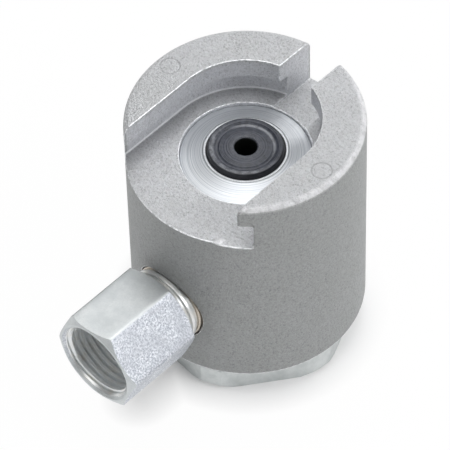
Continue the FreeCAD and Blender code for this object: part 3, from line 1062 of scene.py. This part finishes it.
def seal_pad():
    """The rubber seal: a round bead, a groove and a low crown with a worn, uneven hole."""
    radius = SEAL_HIGH.x
    low = SEAL_LOW.z
    bead_z = SEAL_HIGH.z
    crown_z = bead_z - seal_crown_drop
    hole = seal_hole_radius
    side = [(radius, low), (radius, bead_z - 1.3), (radius - 0.04, bead_z - 0.75)]
    bead = arc((seal_bead_radius, bead_z - seal_bead_round), seal_bead_round, 5, 125, 10)
    groove = [(4.3, bead_z - 0.15), (4.12, bead_z - 0.27), (3.94, bead_z - 0.37), (3.78, bead_z - 0.4)]
    groove += [(3.66, bead_z - 0.36), (3.56, bead_z - 0.27), (3.46, bead_z - 0.23)]
    dish = [(3.2, bead_z - 0.21), (2.9, bead_z - 0.18), (2.6, bead_z - 0.14), (2.3, bead_z - 0.1)]
    crown = [(2.05, crown_z - 0.02), (1.85, crown_z - 0.01), (1.7, crown_z - 0.03), (1.58, crown_z - 0.1)]
    inside = [(hole, crown_z - 0.24), (hole, crown_z - 0.9), (hole, low + 1), (hole, low)]
    profile = side + bead + groove + dish + crown + inside
    mesh = bmesh.new()
    angles = evenly(160)
    loops = []
    for ring_radius, height in profile:
        near_tear = max(0.0, 1 - abs(ring_radius - seal_tear_radius) / seal_tear_width)
        torn = near_tear if height > crown_z - 0.8 else 0.0
        points = []
        for angle in angles:
            spot = about_body(ring_radius, angle, height)
            ragged = noise.noise(spot * 1.3) * 0.09 + noise.noise(spot * 4.5) * 0.08
            wave = noise.noise(spot * 0.8) * 0.035
            worn = wave if ring_radius < radius - 0.3 and height > bead_z - 1 else 0.0
            level = height + worn - abs(ragged) * torn * 0.4
            points.append(about_body(ring_radius + ragged * torn, angle, min(level, bead_z)))
        loops.append(points)
    skin(mesh, loops)
    piece = finished("seal_pad", mesh)
    sharpen(piece, 70)
    dress(piece, "piston_group", seal_rubber(), "seal_rubber", "face_seal")


def inner_finishes():
    """Materials for the pieces inside, which keep the frame's own meshes."""
    plain = plain_metal("plain steel", (0.45, 0.45, 0.45, 1), 0.34)
    spring = plain_metal("spring steel", (0.28, 0.28, 0.3, 1), 0.28)
    packing = moulded("packing rubber", (0.05, 0.032, 0.02, 1), 0.5, 0.12, 0.02)
    finishes = {
        "plug_gasket": moulded("fibre", (0.32, 0.16, 0.1, 1), 0.7, 0.3, 0.03),
        "spring_seat": plain,
        "piston_spring": spring,
        "piston_packing": packing,
        "packing_expander": packing,
        "backup_washer": plain,
        "packing_snap_ring": spring,
        "check_seat": moulded("seat plastic", (0.55, 0.53, 0.48, 1), 0.4, 0.2, 0.01),
        "check_ball": plain_metal("ball steel", (0.6, 0.6, 0.6, 1), 0.1),
        "check_spring": spring,
        "check_retainer": plain,
    }
    for node, material in finishes.items():
        held = frame["nodes"][node]
        held.data.materials.clear()
        held.data.materials.append(material)
        if not held.material_slots:
            raise RuntimeError(f"{node} took no material")


# Camera, floor and light

def direction(azimuth, elevation):
    """A unit vector, with its azimuth counted from -Y towards +X."""
    turn, rise = math.radians(azimuth), math.radians(elevation)
    return Vector((math.sin(turn) * math.cos(rise), -math.cos(turn) * math.cos(rise), math.sin(rise)))


def camera():
    """The photograph's viewing angle, with its slight roll."""
    azimuth, elevation, roll = 44.593, 50.065, 1.762
    distance = 535.76
    target = Vector((-0.514, -3.82, body_top_z - 18.975))
    back = direction(azimuth, elevation)
    data = bpy.data.cameras.new("camera")
    data.sensor_width = 36.0
    data.lens = 319.5
    data.clip_start = 0.01
    data.clip_end = 10.0
    eye = bpy.data.objects.new("camera", data)
    eye.location = (target + back * distance) * MM
    eye.rotation_mode = "QUATERNION"
    look = (-back).to_track_quat("-Z", "Y")
    eye.rotation_quaternion = look @ Quaternion((0, 0, 1), math.radians(-roll))
    bpy.context.scene.collection.objects.link(eye)
    bpy.context.scene.camera = eye


def stage():
    """A white floor whose glow is held back about the body and under the inlet: a painted limit, inside which
    the floor's real soft shadow shows.
    """
    size = 1200
    drop = 0.02
    mesh = bmesh.new()
    corners = [(-size, -size), (size, -size), (size, size), (-size, size)]
    mesh.faces.new([mesh.verts.new(Vector((x, y, -drop)) * MM) for x, y in corners])
    floor = finished("floor", mesh)
    tree = Tree("floor")
    tree.set(Base_Color=(0.93, 0.93, 0.93, 1), Roughness=1.0)
    tree.shader.inputs["Specular IOR Level"].default_value = 0.0
    glow = tree.nodes.new("ShaderNodeEmission")
    path = tree.nodes.new("ShaderNodeLightPath")
    mirrored = tree.math("MAXIMUM", path.outputs["Is Glossy Ray"], path.outputs["Is Transmission Ray"])
    seen = tree.math("MAXIMUM", path.outputs["Is Camera Ray"], mirrored)
    # Painted shadow limit: the glow share is low near the body and the inlet, so the lit floor and its real
    # shadow show only there.
    away_from_body = tree.span(tree.radius("X", "Y"), 14.2 * MM, 19.5 * MM, 0.1, 0.97)
    before_inlet = tree.math("MINIMUM", tree.math("ADD", tree.axis("Y"), 22 * MM), 0.0)
    past_inlet = tree.math("ADD", before_inlet, tree.math("MAXIMUM", tree.axis("Y"), 0.0))
    from_inlet = tree.distance(tree.axis("X"), past_inlet)
    away_from_inlet = tree.span(from_inlet, 0.0, 5.5 * MM, 0.25, 0.97)
    share = tree.math("MULTIPLY", seen, tree.math("MINIMUM", away_from_body, away_from_inlet))
    mix = tree.nodes.new("ShaderNodeMixShader")
    tree.links.new(share, mix.inputs[0])
    tree.links.new(tree.shader.outputs[0], mix.inputs[1])
    tree.links.new(glow.outputs[0], mix.inputs[2])
    tree.links.new(mix.outputs[0], tree.nodes["Material Output"].inputs["Surface"])
    floor.data.materials.append(tree.material)


def world():
    """Soft light, brighter from above than from the sides."""
    scene_world = bpy.data.worlds.new("soft studio")
    bpy.context.scene.world = scene_world
    scene_world.use_nodes = True
    nodes, links = scene_world.node_tree.nodes, scene_world.node_tree.links
    background = nodes["Background"]
    place = nodes.new("ShaderNodeTexCoord")
    split = nodes.new("ShaderNodeSeparateXYZ")
    links.new(place.outputs["Generated"], split.inputs[0])
    rise = nodes.new("ShaderNodeMapRange")
    rise.inputs["From Min"].default_value = 0.0
    rise.inputs["From Max"].default_value = 0.9
    rise.inputs["To Min"].default_value = 0.08
    rise.inputs["To Max"].default_value = 0.2
    links.new(split.outputs["Z"], rise.inputs["Value"])
    links.new(rise.outputs[0], background.inputs["Strength"])
    background.inputs["Color"].default_value = (1, 1, 1, 1)


def lamp(name, azimuth, elevation, size, power):
    """A round soft lamp that aims at the body, its size in millimetres and its power in watts."""
    aim = Vector((0, 0, 20))
    distance = 450
    away = direction(azimuth, elevation)
    data = bpy.data.lights.new(name, "AREA")
    data.shape = "DISK"
    data.size = size * MM
    data.energy = power
    made = bpy.data.objects.new(name, data)
    made.location = (aim + away * distance) * MM
    made.rotation_mode = "QUATERNION"
    made.rotation_quaternion = (-away).to_track_quat("-Z", "Y")
    bpy.context.scene.collection.objects.link(made)


def lights():
    lamp("overhead softbox", 44.6, 88, 280, 0.56)
    lamp("left front softbox", -5, 32, 260, 0.32)
    lamp("high rear softbox", 224.6, 62, 280, 0.62)
    lamp("low rear softbox", 224.6, 30, 220, 0.14)
    lamp("right rear softbox", 180, 35, 260, 0.46)
    lamp("right front softbox", 108, 34, 260, 0.85)


body_casting()
inlet_body()
inlet_ring()
plug_nut()
piston_head()
cup_ring()
seal_pad()
inner_finishes()
camera()
stage()
world()
lights()
bpy.context.scene.view_settings.view_transform = "Standard"
